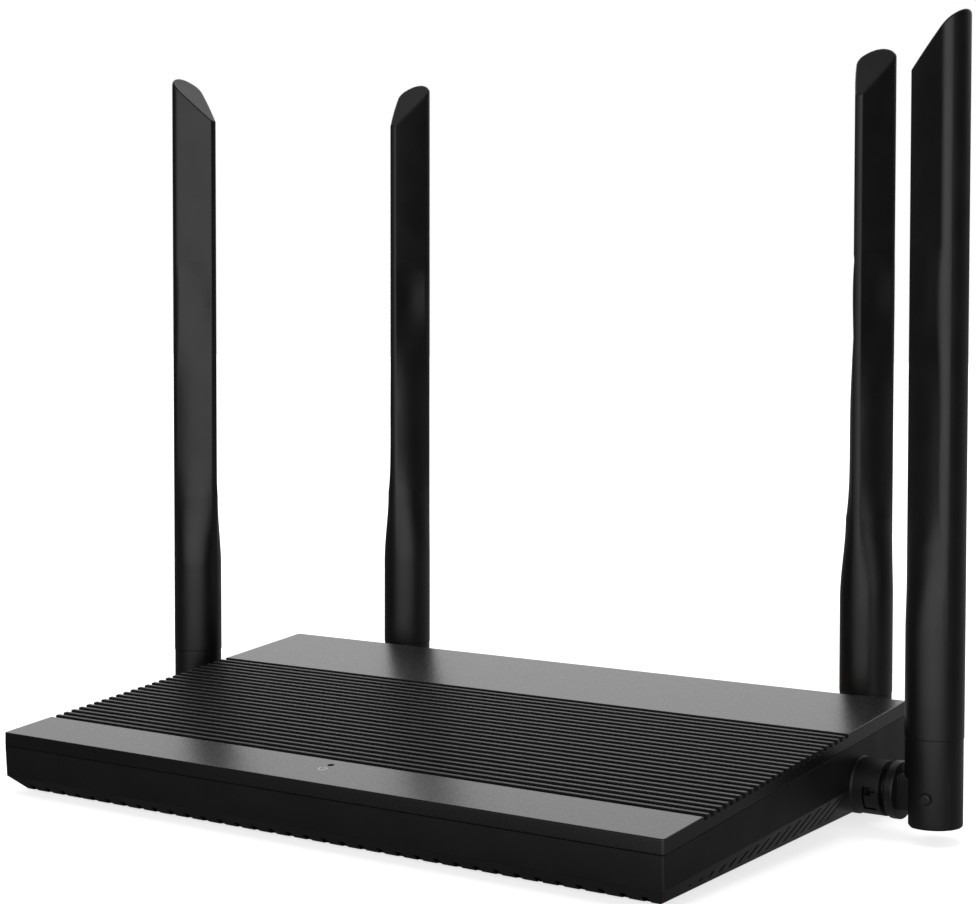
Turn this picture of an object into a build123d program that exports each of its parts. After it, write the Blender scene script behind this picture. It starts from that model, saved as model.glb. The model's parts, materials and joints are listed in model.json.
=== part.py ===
from build123d import *
import os
from math import atan2, cos, hypot, radians, sin, sqrt, tan

# A desktop wireless router: a flat wedge-shaped case with a ribbed lid, and four
# hinged antennas, one on each side and two at the rear.
#
# Frame, in millimetres: +X to the right as seen from the front, +Y from the front
# of the case to the rear, +Z up. Z = 0 is the surface the feet stand on, and the
# origin is below the middle of the whole router, antennas included.
#
# Places on the case are given as distances behind its front edge. Negative ones are
# distances ahead of its rear face.

os.makedirs("parts", exist_ok=True)

# ------------------------------------------------------------------ case
CASE_WIDTH = 200.6
CASE_DEPTH = 118.0
FRONT_HEIGHT = 15.2  # underside to the lid's front edge
TOP_RISE = 12.35  # climb of the lid from its front edge to its rear edge
SKIRT = 3.6  # depth of the lid's skirt, down to the parting line
WALL = 1.8  # lower case, walls and chamfers
FLOOR = 1.8
FRONT_DRAFT = 0.055  # inward lean of the lower case's front wall, per mm below the parting line
SIDE_DRAFT = 0.01  # the same, its side walls
FRONT_CORNER = 0.7  # radius of the upright corners at the front
REAR_CORNER = 0.8  # radius of the upright corners at the rear
LID_EDGE = 0.3  # radius round the lid's upper edge

# ------------------------------------------------------------------ chamfers
FRONT_CHAMFER_HEIGHT = 3.8
FRONT_CHAMFER_INSET = 4.87  # of the underside behind the front edge
SIDE_CHAMFER_HEIGHT = 4.1  # at the front
SIDE_CHAMFER_CLIMB = 0.0716  # growth in height per mm towards the rear
SIDE_CHAMFER_LEAN = 0.78  # sideways run per mm of height
SIDE_CHAMFER_INSET = 0.15  # of its upper edge from the case's full width

# ------------------------------------------------------------------ lid
LID_THICKNESS = 2.2
LID_WALL = 1.6
LIP_HEIGHT = 1.5  # of the lid's inner lip below the parting line
LIP_THICKNESS = 1.1
LIP_GAP = 0.25  # between the lip and the lower case's wall
FRONT_BAND = 16.5  # flat band in front of the ribs
REAR_BAND = 32.8  # flat band behind the ribs
RIB_PITCH = 2.8
RIB_TOP = 1.15  # width of a rib's flat top
GROOVE_DEPTH = 1.0
RIB_BREAK = 0.15  # bevel along each rib's upper edges

# ------------------------------------------------------------------ vents
FRONT_VENT_PITCH = 5.5
FRONT_VENT_WIDTH = 1.6
FRONT_VENT_LENGTH = 2.2  # up the chamfer
FRONT_VENT_MARGIN = 6.0  # from the case's sides to the outermost slots
VENT_OVERRUN = 0.4  # how far a front slot runs past the lower edge
SIDE_VENT_COUNT = 16
SIDE_VENT_FIRST = 15.3
SIDE_VENT_PITCH = 4.8
SIDE_VENT_WIDTH = 1.2
SIDE_VENT_SILL = 1.7  # height of each slot's lower end above the underside
SIDE_VENT_TOP_FIRST = 3.0  # below the chamfer's upper edge, first slot
SIDE_VENT_TOP_LAST = 0.5  # the same, last slot
FLOOR_VENT_ROWS = (44.0, 73.0)
FLOOR_VENT_LENGTH = 20.0
FLOOR_VENT_WIDTH = 1.8
FLOOR_VENT_PITCH = 4.2
FLOOR_VENT_HALF = 34.0  # half the width of a row

# ------------------------------------------------------------------ feet and wall mount
FOOT_RADIUS = 5.0
FOOT_STAND = 0.6  # how far the feet hold the underside off the table
FOOT_RECESS = 0.5
FOOT_GAP = 0.1
FOOT_EDGE = 0.2
FOOT_INSET = 20.3  # from the case's sides
FOOT_PLACES = (11.6, -14.0)
KEYHOLE_SPACING = 100.0
KEYHOLE_PLACE = 60.0
KEYHOLE_RADIUS = 3.75
KEYHOLE_SLOT_WIDTH = 4.0
KEYHOLE_SLOT_LENGTH = 8.0

# ------------------------------------------------------------------ circuit board
BOARD_SIDE_GAP = 15.0  # from the case's sides
BOARD_FRONT = 8.0
BOARD_REAR_GAP = 13.0  # from the case's rear face, beside the ports
BOARD_TONGUE_GAP = 4.0  # from the case's rear face, under the ports
BOARD_TONGUE_LEFT = -66.0
BOARD_TONGUE_RIGHT = 60.0
BOARD_THICKNESS = 1.6
STANDOFF_HEIGHT = 3.1
STANDOFF_RADIUS = 3.0
BOARD_SCREW_PLACES = ((-50.0, 22.0), (50.0, 22.0), (-46.0, -34.0), (56.0, -30.0))
BOARD_SCREW_RADIUS = 0.9
BOARD_SCREW_LENGTH = 4.4
BOARD_SCREW_HEAD_RADIUS = 2.4
BOARD_SCREW_HEAD_HEIGHT = 1.5
SCREW_GAP = 0.06  # round a screw's shank in its pilot hole
HOLE_GAP = 0.4  # round a screw or post in a clearance hole

# ------------------------------------------------------------------ case screws
CASE_SCREW_PLACES = ((72.3, 20.0), (64.3, -22.0))  # out from the middle, and along
CASE_SCREW_RADIUS = 1.15
CASE_SCREW_LENGTH = 9.0
CASE_SCREW_HEAD_RADIUS = 2.7
CASE_SCREW_HEAD_HEIGHT = 1.8
CASE_SCREW_RECESS = 3.4
BOSS_HEIGHT = 6.4  # of the lower case's screw bosses above the underside
BOSS_RADIUS = 4.2
POST_RADIUS = 3.0  # of the lid's posts that stand on them
CROSS_LENGTH = 2.7  # cross recess in the screws' heads
CROSS_WIDTH = 0.8
CROSS_DEPTH = 0.9

# ------------------------------------------------------------------ parts on the board
CHIP_SIZE = (15.0, 15.0, 1.2)
CHIP_PLACE = (-8.0, 54.0)
SINK_SIZE = (34.0, 34.0, 7.0)
SINK_BASE = 1.6
SINK_FINS = 9
SINK_FIN_THICKNESS = 1.1
SHIELD_SIZE = (40.0, 28.0, 2.6)
SHIELD_PLACE = (42.0, 52.0)
MEMORY_SIZE = (18.0, 10.0, 1.1)
MEMORY_PLACE = (-44.0, 50.0)
MAGNETICS_SIZE = (24.0, 12.0, 5.6)
MAGNETICS_PLACES = ((-22.0, -28.0), (16.0, -28.0))
CAPACITOR_RADIUS = 3.1
CAPACITOR_HEIGHT = 8.0
CAPACITOR_PLACES = ((-52.0, -24.0), (-38.0, -22.0))
LED_SIZE = (1.6, 0.8, 0.7)
LED_PLACE = 12.8
PIPE_RADIUS = 0.8
PIPE_GAP = 0.05
PIPE_SUNK = 0.35  # of its upper end below the lid's surface
PIPE_FLANGE_RADIUS = 1.7
PIPE_FLANGE_HEIGHT = 1.0
PIPE_STANDOFF = 0.1  # from the lamp

# ------------------------------------------------------------------ ports
PORT_PROUD = 0.3  # past the rear wall
PORT_GAP = 0.2  # round each port in the rear wall
JACK_WIDTH = 16.0
JACK_HEIGHT = 13.4
JACK_DEPTH = 16.5
SOCKET_WIDTH = 11.8
SOCKET_HEIGHT = 8.4
SOCKET_DEPTH = 13.4
SOCKET_SILL = 3.6  # from the jack's underside to its socket
LATCH_WIDTH = 6.4
LATCH_HEIGHT = 2.5
CONTACT_COUNT = 8
CONTACT_PITCH = 1.02
CONTACT_WIDTH = 0.45
CONTACT_THICKNESS = 0.3
CONTACT_SET_BACK = 2.6  # behind the socket's mouth
CONTACT_DROP = 1.1  # of its free end below the socket's ceiling
WAN_PLACE = -27.0
LAN_PLACES = (-7.0, 10.5, 28.0, 45.5)
POWER_PLACE = -58.0
POWER_WIDTH = 9.0
POWER_HEIGHT = 11.0
POWER_DEPTH = 13.5
POWER_BORE = 3.15
POWER_BORE_DEPTH = 9.5
POWER_BORE_HEIGHT = 6.4
POWER_PIN = 1.05
POWER_PIN_SET_BACK = 0.8

# ------------------------------------------------------------------ push button
BUTTON_PLACE = -44.0
BUTTON_HEIGHT = 4.0  # of its axis above the board
BUTTON_RADIUS = 2.4
BUTTON_PROUD = 1.2
BUTTON_GAP = 0.06
BUTTON_EDGE = 0.35
COLLAR_RADIUS = 3.1
COLLAR_THICKNESS = 0.8
COLLAR_GAP = 0.1
BUTTON_TRAVEL = 0.5
STEM_RADIUS = 1.6
STEM_LENGTH = 2.4  # from the collar to the switch
STEM_ENTRY = 0.7  # inside the switch at rest
SWITCH_WIDTH = 7.0
SWITCH_DEPTH = 4.0
SWITCH_SPARE = 0.4  # left in the switch's bore when the button is pushed home

# ------------------------------------------------------------------ antenna hubs
SIDE_REACH = 18.5  # from the case's side to a side antenna's axis
REAR_REACH = 24.4  # from the case's rear face to a rear antenna's axis
SIDE_HUB_PLACE = -24.8
REAR_HUB_INSET = 23.0  # from the case's sides to the rear antennas' axes
HUB_HEIGHT = 11.2  # of the swivel's axis above the table
HUB_RADIUS = 6.7
HUB_END = 11.35  # from the antenna's axis to the end of the hub
HUB_ROOT_RADIUS = 7.0
HUB_FLARE = 0.5  # length of the hub's flared root
HUB_FLARE_HOLLOW = 0.33  # share of the flare's length and height at its middle
HUB_INSIDE = 7.5  # length of the hub inside the case's wall
SWIVEL_GAP = 0.06
WINDOW_LENGTH = 2.2
WINDOW_HEIGHT = 2.0
WINDOW_START = 15.6  # from the antenna's axis
TONGUE_SLOT = 0.5
TONGUE_HEIGHT = 4.4  # of the snap tongue below the swivel's axis
TONGUE_ROOT = 1.0  # of solid wall between the tongue and the hub's end
HOOK_LENGTH = 1.1
HOOK_REACH = 0.65  # of the tongue's hook into the swivel's groove
HOOK_HEIGHT = 2.0
GROOVE_LENGTH = 1.9
GROOVE_REACH = 0.8

# ------------------------------------------------------------------ swivels
BUSH_RADIUS = 5.0
BUSH_INSIDE = 6.0  # length of the bush inside the case's wall
BUSH_BORE = 2.0
DISC_RADIUS = 7.0
DISC_INNER = 9.95  # from the antenna's axis
DISC_OUTER = 7.65
DISC_EDGE = 0.35
BLOCK_WIDTH = 7.8
BLOCK_RADIUS = 4.1
BLOCK_EDGE = 0.4

# ------------------------------------------------------------------ antennas
SHAFT_RADIUS = 7.0
SLEEVE_RADIUS = 6.88
SLEEVE_BELOW = 7.4  # below the pin's axis
SLEEVE_ABOVE = 13.8  # above the pin's axis
SLEEVE_EDGE = 0.5
PIN_OFFSET = 0.9  # of the pin outwards from the antenna's axis
SLOT_SIDE_GAP = 0.25
SLOT_END_GAP = 0.35
FLAT_OFFSET = 4.0  # of the flat beside the slot from the antenna's axis
SWING_RADIUS = 8.15  # of the sleeve's lower inner corner about the pin
SPIGOT_LENGTH = 10.0
SPIGOT_GAP = 0.06
BLADE_WALL = 1.45
TRANSITION_START = 38.5  # above the pin's axis
TRANSITION_END = 60.0
TRANSITION_SECTIONS = 7
BLADE_EVEN = 130.0  # above the pin's axis, from where the section stays the same
BLADE_STEPS = 4  # sections between the transition and there
BLADE_FLAT = 1.0  # half the width of the blade's narrow face
BLADE_FLAT_INSIDE = 0.6  # the same for the blade's hollow
BLADE_SHOULDER = 42.0  # degrees round the blade from its outer face to a shoulder
BLADE_SHOULDER_RADIUS = 2.6
FLANK_RADIUS_LOW = 9.7  # of the blade's sides, just above the transition
FLANK_RADIUS_HIGH = 66.0  # the same in its even part
BLADE_TAIL_BULGE = 0.1  # of its narrow face
TIP_LOW = 171.5  # above the pin's axis, at the narrow face
TIP_ANGLE = 44.65  # degrees above level
TIP_THICKNESS = 2.0
TIP_EDGE = 0.5
PIN_RADIUS = 0.95
PIN_GAP = 0.04
PIN_HEAD_RADIUS = 1.35
PIN_HEAD_DEPTH = 0.8
PIN_DOME = 0.6
LEAD_RADIUS = 0.57
PIGTAIL_RADIUS = 0.9
PIGTAIL_GAP = 0.06
RADIATOR_RADIUS = 2.3
RADIATOR_LENGTH = 40.0
WHIP_RADIUS = 0.7
WHIP_LENGTH = 46.0
WHIP_BEAD = 1.5

# ------------------------------------------------------------------ leads inside the case
PLUG_RADIUS = 1.5
PLUG_HEIGHT = 2.0
FERRULE = 0.9  # length of its ferrule
FERRULE_RADIUS = 0.8
LEAD_HEIGHT = 1.1  # of the lead's axis above the board at the plug
SIDE_PLUG_PLACE = (28.0, -46.0)  # in from the side, and along
REAR_PLUG_PLACE = (30.0, -32.0)
LEAD_START = 4.0  # inside the bush, from its inner end
LEAD_CLEAR = 9.0  # straight out of the bush
LEAD_ENTRY = 6.0  # straight into the plug
ARC_SHARE = 0.45  # of the shorter run beside a corner, taken by its arc

# ------------------------------------------------------------------ worked-out places
FRONT_Y = -(CASE_DEPTH + REAR_REACH + SHAFT_RADIUS) / 2
REAR_Y = FRONT_Y + CASE_DEPTH
BASE_Z = FOOT_STAND
FLOOR_Z = BASE_Z + FLOOR
BOARD_Z = FLOOR_Z + STANDOFF_HEIGHT
BOARD_TOP = BOARD_Z + BOARD_THICKNESS
BOSS_Z = BASE_Z + BOSS_HEIGHT
TOP_SLOPE = TOP_RISE / CASE_DEPTH
FRONT_TOP_Z = BASE_Z + FRONT_HEIGHT
PARTING_Z = FRONT_TOP_Z - SKIRT
TOP_NORMAL = (0, -TOP_SLOPE, 1)
HALF = CASE_WIDTH / 2
SPIGOT_RADIUS = SHAFT_RADIUS - BLADE_WALL - SPIGOT_GAP
SPARE = 1.0  # how far a cutting tool runs past what it cuts
UPRIGHT = 0.9  # least share of Z in the direction of an edge taken as upright
BIG = 2 * (CASE_WIDTH + CASE_DEPTH)
BEYOND = 4 * BIG  # the size of a tool that cuts away all that lies beyond a plane

CENTRE_TO_TOP = (Align.CENTER, Align.CENTER, Align.MIN)
FROM_X = (Align.MIN, Align.CENTER, Align.CENTER)

# Each hub: name, antenna's axis (x, y), turn about Z that points outwards, reach
# from the wall, and the side of the hub that its snap tongue is on.
HUBS = (
    ("right_side", HALF + SIDE_REACH, REAR_Y + SIDE_HUB_PLACE, 0, SIDE_REACH, -1),
    ("left_side", -HALF - SIDE_REACH, REAR_Y + SIDE_HUB_PLACE, 180, SIDE_REACH, 1),
    ("rear_right", HALF - REAR_HUB_INSET, REAR_Y + REAR_REACH, 90, REAR_REACH, -1),
    ("rear_left", REAR_HUB_INSET - HALF, REAR_Y + REAR_REACH, 90, REAR_REACH, 1),
)


def behind(distance):
    """The Y of a place behind the case's front edge, or ahead of its rear face."""
    return distance + (FRONT_Y if distance > 0 else REAR_Y)


def top_z(y):
    """The height of the lid's surface at Y."""
    return FRONT_TOP_Z + TOP_SLOPE * (y - FRONT_Y)


def trim(solid, point, outward, inset=0.0):
    """Cut away what lies beyond a plane, set in by a wall's thickness."""
    normal = Vector(*outward).normalized()
    plane = Plane(origin=Vector(*point) - normal * inset, z_dir=normal)
    return solid - plane * Box(BEYOND, BEYOND, BEYOND, align=CENTRE_TO_TOP)


def upright(radius, x, y, low, high):
    """An upright cylinder between two heights."""
    return Pos(x, y, low) * Cylinder(radius, high - low, align=CENTRE_TO_TOP)


def block(size, x, y, low):
    """A box centred on X and Y, standing on a height."""
    return Pos(x, y, low) * Box(*size, align=CENTRE_TO_TOP)


def along_x(radius, start, end):
    """A cylinder on the X axis."""
    return Pos(start, 0, 0) * Rot(0, 90, 0) * Cylinder(radius, end - start, align=CENTRE_TO_TOP)


def along_y(radius, start, end, x=0.0, z=0.0):
    """A cylinder parallel to the Y axis."""
    return Pos(x, start, z) * Rot(-90, 0, 0) * Cylinder(radius, end - start, align=CENTRE_TO_TOP)


def save(shape, name):
    """Write a sub-part, as one solid or a group of solids."""
    export_step(shape, f"parts/{name}.step")


def corner_edges(solid, front):
    """The upright edges at the front or at the rear."""
    middle = (FRONT_Y + REAR_Y) / 2
    edges = [e for e in solid.edges() if abs((e @ 1 - e @ 0).normalized().Z) > UPRIGHT]
    return [e for e in edges if (e.center().Y < middle) == front]


# ------------------------------------------------------------------ lower case


def lower_walls(inset, floor_z, open_top):
    """The lower case's form with drafted walls, before its chamfers."""
    mid_y = (FRONT_Y + REAR_Y) / 2
    form = Pos(0, mid_y, floor_z) * Box(BIG, BIG, BIG, align=CENTRE_TO_TOP)
    if not open_top:
        form = trim(form, (0, FRONT_Y, PARTING_Z), TOP_NORMAL)
    form = trim(form, (0, FRONT_Y, PARTING_Z), (0, -1, -FRONT_DRAFT), inset)
    form = trim(form, (0, REAR_Y, PARTING_Z), (0, 1, 0), inset)
    for side in (-1, 1):
        lean = (side, SIDE_DRAFT * TOP_SLOPE, -SIDE_DRAFT)
        form = trim(form, (side * HALF, FRONT_Y, PARTING_Z), lean, inset)
    return form


def chamfered(form, inset):
    """The lower case's form with its front and side chamfers cut."""
    start_z = BASE_Z + FRONT_CHAMFER_HEIGHT
    start_y = FRONT_Y + FRONT_DRAFT * (PARTING_Z - start_z)
    run = FRONT_Y + FRONT_CHAMFER_INSET - start_y
    form = trim(form, (0, start_y, start_z), (0, -FRONT_CHAMFER_HEIGHT, -run), inset)
    for side in (-1, 1):
        edge = (side * (HALF - SIDE_CHAMFER_INSET), FRONT_Y, BASE_Z + SIDE_CHAMFER_HEIGHT)
        facing = (side, SIDE_CHAMFER_LEAN * SIDE_CHAMFER_CLIMB, -SIDE_CHAMFER_LEAN)
        form = trim(form, edge, facing, inset)
    return form


def front_vents():
    """Short slots along the front chamfer's lower edge."""
    start_z = BASE_Z + FRONT_CHAMFER_HEIGHT
    run = FRONT_CHAMFER_INSET - FRONT_DRAFT * (PARTING_Z - start_z)
    facing = Vector(0, -FRONT_CHAMFER_HEIGHT, -run)
    depth = 2 * (WALL + SPARE)
    reach = HALF - FRONT_VENT_MARGIN
    count = 2 * int(reach / FRONT_VENT_PITCH) + 1
    slot = Box(FRONT_VENT_WIDTH, FRONT_VENT_LENGTH + VENT_OVERRUN, depth)
    slot = Pos(0, (FRONT_VENT_LENGTH - VENT_OVERRUN) / 2, 0) * slot
    slots = []
    for i in range(count):
        x = (i - (count - 1) / 2) * FRONT_VENT_PITCH
        edge = (x, FRONT_Y + FRONT_CHAMFER_INSET, BASE_Z)
        frame = Plane(origin=edge, x_dir=(1, 0, 0), z_dir=facing)
        slots.append(frame * slot)
    return slots


def side_vents():
    """Upright slots in the side chamfers, longer towards the rear."""
    slots = []
    for i in range(SIDE_VENT_COUNT):
        distance = SIDE_VENT_FIRST + i * SIDE_VENT_PITCH
        share = i / max(SIDE_VENT_COUNT - 1, 1)
        margin = SIDE_VENT_TOP_FIRST + share * (SIDE_VENT_TOP_LAST - SIDE_VENT_TOP_FIRST)
        chamfer = SIDE_CHAMFER_HEIGHT + SIDE_CHAMFER_CLIMB * distance
        rise = chamfer - margin - SIDE_VENT_SILL
        length = rise * hypot(1, SIDE_CHAMFER_LEAN)
        x = HALF - SIDE_CHAMFER_INSET - SIDE_CHAMFER_LEAN * (chamfer - SIDE_VENT_SILL)
        slot = Box(length, SIDE_VENT_WIDTH, 2 * (WALL + SPARE), align=FROM_X)
        for side in (-1, 1):
            low = (side * x, behind(distance), BASE_Z + SIDE_VENT_SILL)
            up = (side * SIDE_CHAMFER_LEAN, 0, 1)
            slots.append(Plane(origin=low, x_dir=up, z_dir=(side, 0, -SIDE_CHAMFER_LEAN)) * slot)
    return slots


def floor_vents():
    """Two rows of long slots in the floor."""
    count = 2 * int(FLOOR_VENT_HALF / FLOOR_VENT_PITCH) + 1
    size = (FLOOR_VENT_WIDTH, FLOOR_VENT_LENGTH, FLOOR + 2 * SPARE)
    slots = []
    for row in FLOOR_VENT_ROWS:
        for i in range(count):
            x = (i - (count - 1) / 2) * FLOOR_VENT_PITCH
            slots.append(block(size, x, behind(row), BASE_Z - SPARE))
    return slots


def keyholes():
    """Two keyholes in the floor, to hang the router on a wall."""
    cuts = []
    slot = (KEYHOLE_SLOT_WIDTH, KEYHOLE_SLOT_LENGTH, FLOOR + 2 * SPARE)
    for side in (-1, 1):
        x = side * KEYHOLE_SPACING / 2
        y = behind(KEYHOLE_PLACE)
        cuts.append(upright(KEYHOLE_RADIUS, x, y, BASE_Z - SPARE, FLOOR_Z + SPARE))
        cuts.append(block(slot, x, y + KEYHOLE_SLOT_LENGTH / 2, BASE_Z - SPARE))
        end = y + KEYHOLE_SLOT_LENGTH
        cuts.append(upright(KEYHOLE_SLOT_WIDTH / 2, x, end, BASE_Z - SPARE, FLOOR_Z + SPARE))
    return cuts


def port_boxes():
    """Each port's place, as (x, width, height above the board)."""
    boxes = [(POWER_PLACE, POWER_WIDTH, POWER_HEIGHT), (WAN_PLACE, JACK_WIDTH, JACK_HEIGHT)]
    boxes += [(x, JACK_WIDTH, JACK_HEIGHT) for x in LAN_PLACES]
    return boxes


def port_cuts():
    """Openings in the rear wall for the ports and the button."""
    cuts = []
    for x, width, height in port_boxes():
        size = (width + 2 * PORT_GAP, WALL + 2 * SPARE, height + 2 * PORT_GAP)
        cuts.append(block(size, x, REAR_Y - WALL / 2, BOARD_TOP - PORT_GAP))
    radius = BUTTON_RADIUS + BUTTON_GAP
    start = REAR_Y - WALL - SPARE
    cuts.append(along_y(radius, start, REAR_Y + SPARE, BUTTON_PLACE, BOARD_TOP + BUTTON_HEIGHT))
    return cuts


def hub_solid(reach):
    """A hub in its own frame: X outwards, the antenna's axis at the origin."""
    inner = -reach - HUB_INSIDE
    root = (-reach, HUB_ROOT_RADIUS)
    rim = (-HUB_END, HUB_RADIUS)
    middle_x = -reach + HUB_FLARE_HOLLOW * HUB_FLARE
    middle_y = HUB_RADIUS + HUB_FLARE_HOLLOW * (HUB_ROOT_RADIUS - HUB_RADIUS)
    foot = (-reach + HUB_FLARE, HUB_RADIUS)
    outline = Polyline(rim, (-HUB_END, 0), (inner, 0), (inner, HUB_ROOT_RADIUS), root)
    outline += ThreePointArc(root, (middle_x, middle_y), foot)
    outline += Line(foot, rim)
    return revolve(make_face(outline), Axis.X)


def hub_cuts(reach, side):
    """The hub's bore, and the window and slots round its snap tongue."""
    bore = along_x(BUSH_RADIUS + SWIVEL_GAP, -reach - HUB_INSIDE - SPARE, -HUB_END + SPARE)
    depth = HUB_ROOT_RADIUS
    start = -WINDOW_START
    end = -HUB_END - TONGUE_ROOT
    top = TONGUE_SLOT / 2
    away = (Align.MIN, Align.MIN if side > 0 else Align.MAX, Align.CENTER)
    window = Pos(start, 0, 0) * Box(WINDOW_LENGTH, depth, WINDOW_HEIGHT, align=away)
    upper = Pos(start, 0, 0) * Box(end - start, depth, TONGUE_SLOT, align=away)
    lower = Pos(start, 0, -TONGUE_HEIGHT) * Box(end - start, depth, TONGUE_SLOT, align=away)
    across = Box(TONGUE_SLOT, depth, TONGUE_HEIGHT, align=away)
    across = Pos(start, 0, top - TONGUE_HEIGHT / 2) * across
    return [bore, window, upper, lower, across]


def hub_hook(side):
    """The snap tongue's hook, which holds the swivel by its groove."""
    start = -WINDOW_START + TONGUE_SLOT + (GROOVE_LENGTH - HOOK_LENGTH) / 2
    outer = BUSH_RADIUS + SWIVEL_GAP
    ring = along_x((outer + HUB_RADIUS) / 2, start, start + HOOK_LENGTH)
    ring -= along_x(outer - HOOK_REACH, start, start + HOOK_LENGTH)
    away = (Align.MIN, Align.MIN if side > 0 else Align.MAX, Align.CENTER)
    middle = -(TONGUE_HEIGHT + WINDOW_HEIGHT / 2) / 2
    return ring & Pos(start, 0, middle) * Box(HOOK_LENGTH, HUB_ROOT_RADIUS, HOOK_HEIGHT, align=away)


def hub_frame(x, y, turn):
    """The place of a hub's own frame in the router."""
    return Pos(x, y, HUB_HEIGHT) * Rot(0, 0, turn)


def bottom_case():
    """The lower case: floor, walls, chamfers, vents, hubs and screw bosses."""
    outer = lower_walls(0.0, BASE_Z, False)
    outer = fillet(corner_edges(outer, True), FRONT_CORNER)
    outer = fillet(corner_edges(outer, False), REAR_CORNER)
    outer = chamfered(outer, 0.0)
    case = outer - chamfered(lower_walls(WALL, FLOOR_Z, True), WALL)
    case -= front_vents() + side_vents() + floor_vents() + keyholes() + port_cuts()
    for x, y in BOARD_SCREW_PLACES:
        case += upright(STANDOFF_RADIUS, x, behind(y), FLOOR_Z, BOARD_Z)
        case -= upright(BOARD_SCREW_RADIUS + SCREW_GAP, x, behind(y), FLOOR_Z, BOARD_Z + SPARE)
    for x, y in case_screw_places():
        case += upright(BOSS_RADIUS, x, y, FLOOR_Z, BOSS_Z)
        recess = CASE_SCREW_HEAD_RADIUS + HOLE_GAP
        case -= upright(recess, x, y, BASE_Z - SPARE, BASE_Z + CASE_SCREW_RECESS)
        case -= upright(CASE_SCREW_RADIUS + HOLE_GAP, x, y, BASE_Z, BOSS_Z + SPARE)
    for x, y in foot_places():
        case -= upright(FOOT_RADIUS + FOOT_GAP, x, y, BASE_Z - SPARE, BASE_Z + FOOT_RECESS)
    for _, x, y, turn, reach, side in HUBS:
        frame = hub_frame(x, y, turn)
        case += frame * hub_solid(reach)
        case -= [frame * cut for cut in hub_cuts(reach, side)]
        case += frame * hub_hook(side)
    return case


def foot_places():
    """The middles of the four feet."""
    half = HALF - FOOT_INSET
    return [(x, behind(y)) for x in (-half, half) for y in FOOT_PLACES]


def case_screw_places():
    """The axes of the four case screws."""
    return [(side * x, behind(y)) for side in (-1, 1) for x, y in CASE_SCREW_PLACES]


def rubber_feet():
    """Four round feet, set in recesses."""
    feet = []
    for x, y in foot_places():
        foot = upright(FOOT_RADIUS, x, y, 0, BASE_Z + FOOT_RECESS)
        feet.append(chamfer(foot.edges().group_by(Axis.Z)[0], FOOT_EDGE))
    return Compound(children=feet)


# ------------------------------------------------------------------ lid


def lid_block(inset, low_drop, top_inset):
    """The lid's block between the parting line and its top, both sloping."""
    size = (CASE_WIDTH - 2 * inset, CASE_DEPTH - 2 * inset, BIG)
    form = Pos(0, (FRONT_Y + REAR_Y) / 2, 0) * Box(*size)
    form = trim(form, (0, FRONT_Y, FRONT_TOP_Z), TOP_NORMAL, top_inset)
    down = (0, TOP_SLOPE, -1)
    return trim(form, (0, FRONT_Y, PARTING_Z - low_drop), down)


def rib_grooves():
    """The grooves between the lid's ribs, open at both sides."""
    zone = (CASE_DEPTH - FRONT_BAND - REAR_BAND) * hypot(1, TOP_SLOPE)
    count = int(round((zone + RIB_TOP) / RIB_PITCH))
    width = RIB_PITCH - RIB_TOP
    start = FRONT_BAND * hypot(1, TOP_SLOPE)
    step = (zone - width) / max(count - 1, 1)
    corner = (-HALF - SPARE, FRONT_Y, FRONT_TOP_Z)
    frame = Plane(origin=corner, x_dir=(0, 1, TOP_SLOPE), z_dir=(1, 0, 0))
    grooves = []
    for i in range(count):
        middle = start + width / 2 + i * step
        low = width / 2 - RIB_BREAK
        profile = Polyline(
            (middle - low, -GROOVE_DEPTH),
            (middle - width / 2, -GROOVE_DEPTH + RIB_BREAK),
            (middle - width / 2, -RIB_BREAK),
            (middle - width / 2 - RIB_BREAK - SPARE, SPARE),
            (middle + width / 2 + RIB_BREAK + SPARE, SPARE),
            (middle + width / 2, -RIB_BREAK),
            (middle + width / 2, -GROOVE_DEPTH + RIB_BREAK),
            (middle + low, -GROOVE_DEPTH),
            close=True,
        )
        grooves.append(extrude(frame * make_face(profile), CASE_WIDTH + 2 * SPARE))
    return grooves


def top_cover():
    """The lid: ribbed top, skirt, inner lip, posts and the lamp's hole."""
    lid = lid_block(0.0, 0.0, 0.0)
    lid = fillet(corner_edges(lid, True), FRONT_CORNER)
    lid = fillet(corner_edges(lid, False), REAR_CORNER)
    top = lid.faces().sort_by(Axis.Z)[-1]
    lid = fillet(top.edges(), LID_EDGE)
    lid -= lid_block(LID_WALL, SPARE, LID_THICKNESS)
    lip = lid_block(WALL + LIP_GAP, LIP_HEIGHT, LID_THICKNESS)
    lip -= lid_block(WALL + LIP_GAP + LIP_THICKNESS, LIP_HEIGHT + SPARE, 0.0)
    lid += lip
    for x, y in case_screw_places():
        post = upright(POST_RADIUS, x, y, BOSS_Z, BIG)
        lid += trim(post, (0, FRONT_Y, FRONT_TOP_Z), TOP_NORMAL, LID_THICKNESS)
        hole = CASE_SCREW_RADIUS + SCREW_GAP
        depth = BASE_Z + CASE_SCREW_RECESS - CASE_SCREW_HEAD_HEIGHT + CASE_SCREW_LENGTH
        lid -= upright(hole, x, y, BOSS_Z - SPARE, depth + HOLE_GAP)
    lid -= rib_grooves()
    lamp = behind(LED_PLACE)
    lid -= upright(PIPE_RADIUS + PIPE_GAP, 0, lamp, BOARD_TOP, top_z(lamp) + SPARE)
    return lid


# ------------------------------------------------------------------ screws


def cross_recess(top):
    """A cross-shaped recess that opens upwards at a height."""
    arm = Pos(0, 0, top - CROSS_DEPTH / 2) * Box(CROSS_LENGTH, CROSS_WIDTH, CROSS_DEPTH)
    return [arm, Rot(0, 0, 90) * arm]


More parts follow.
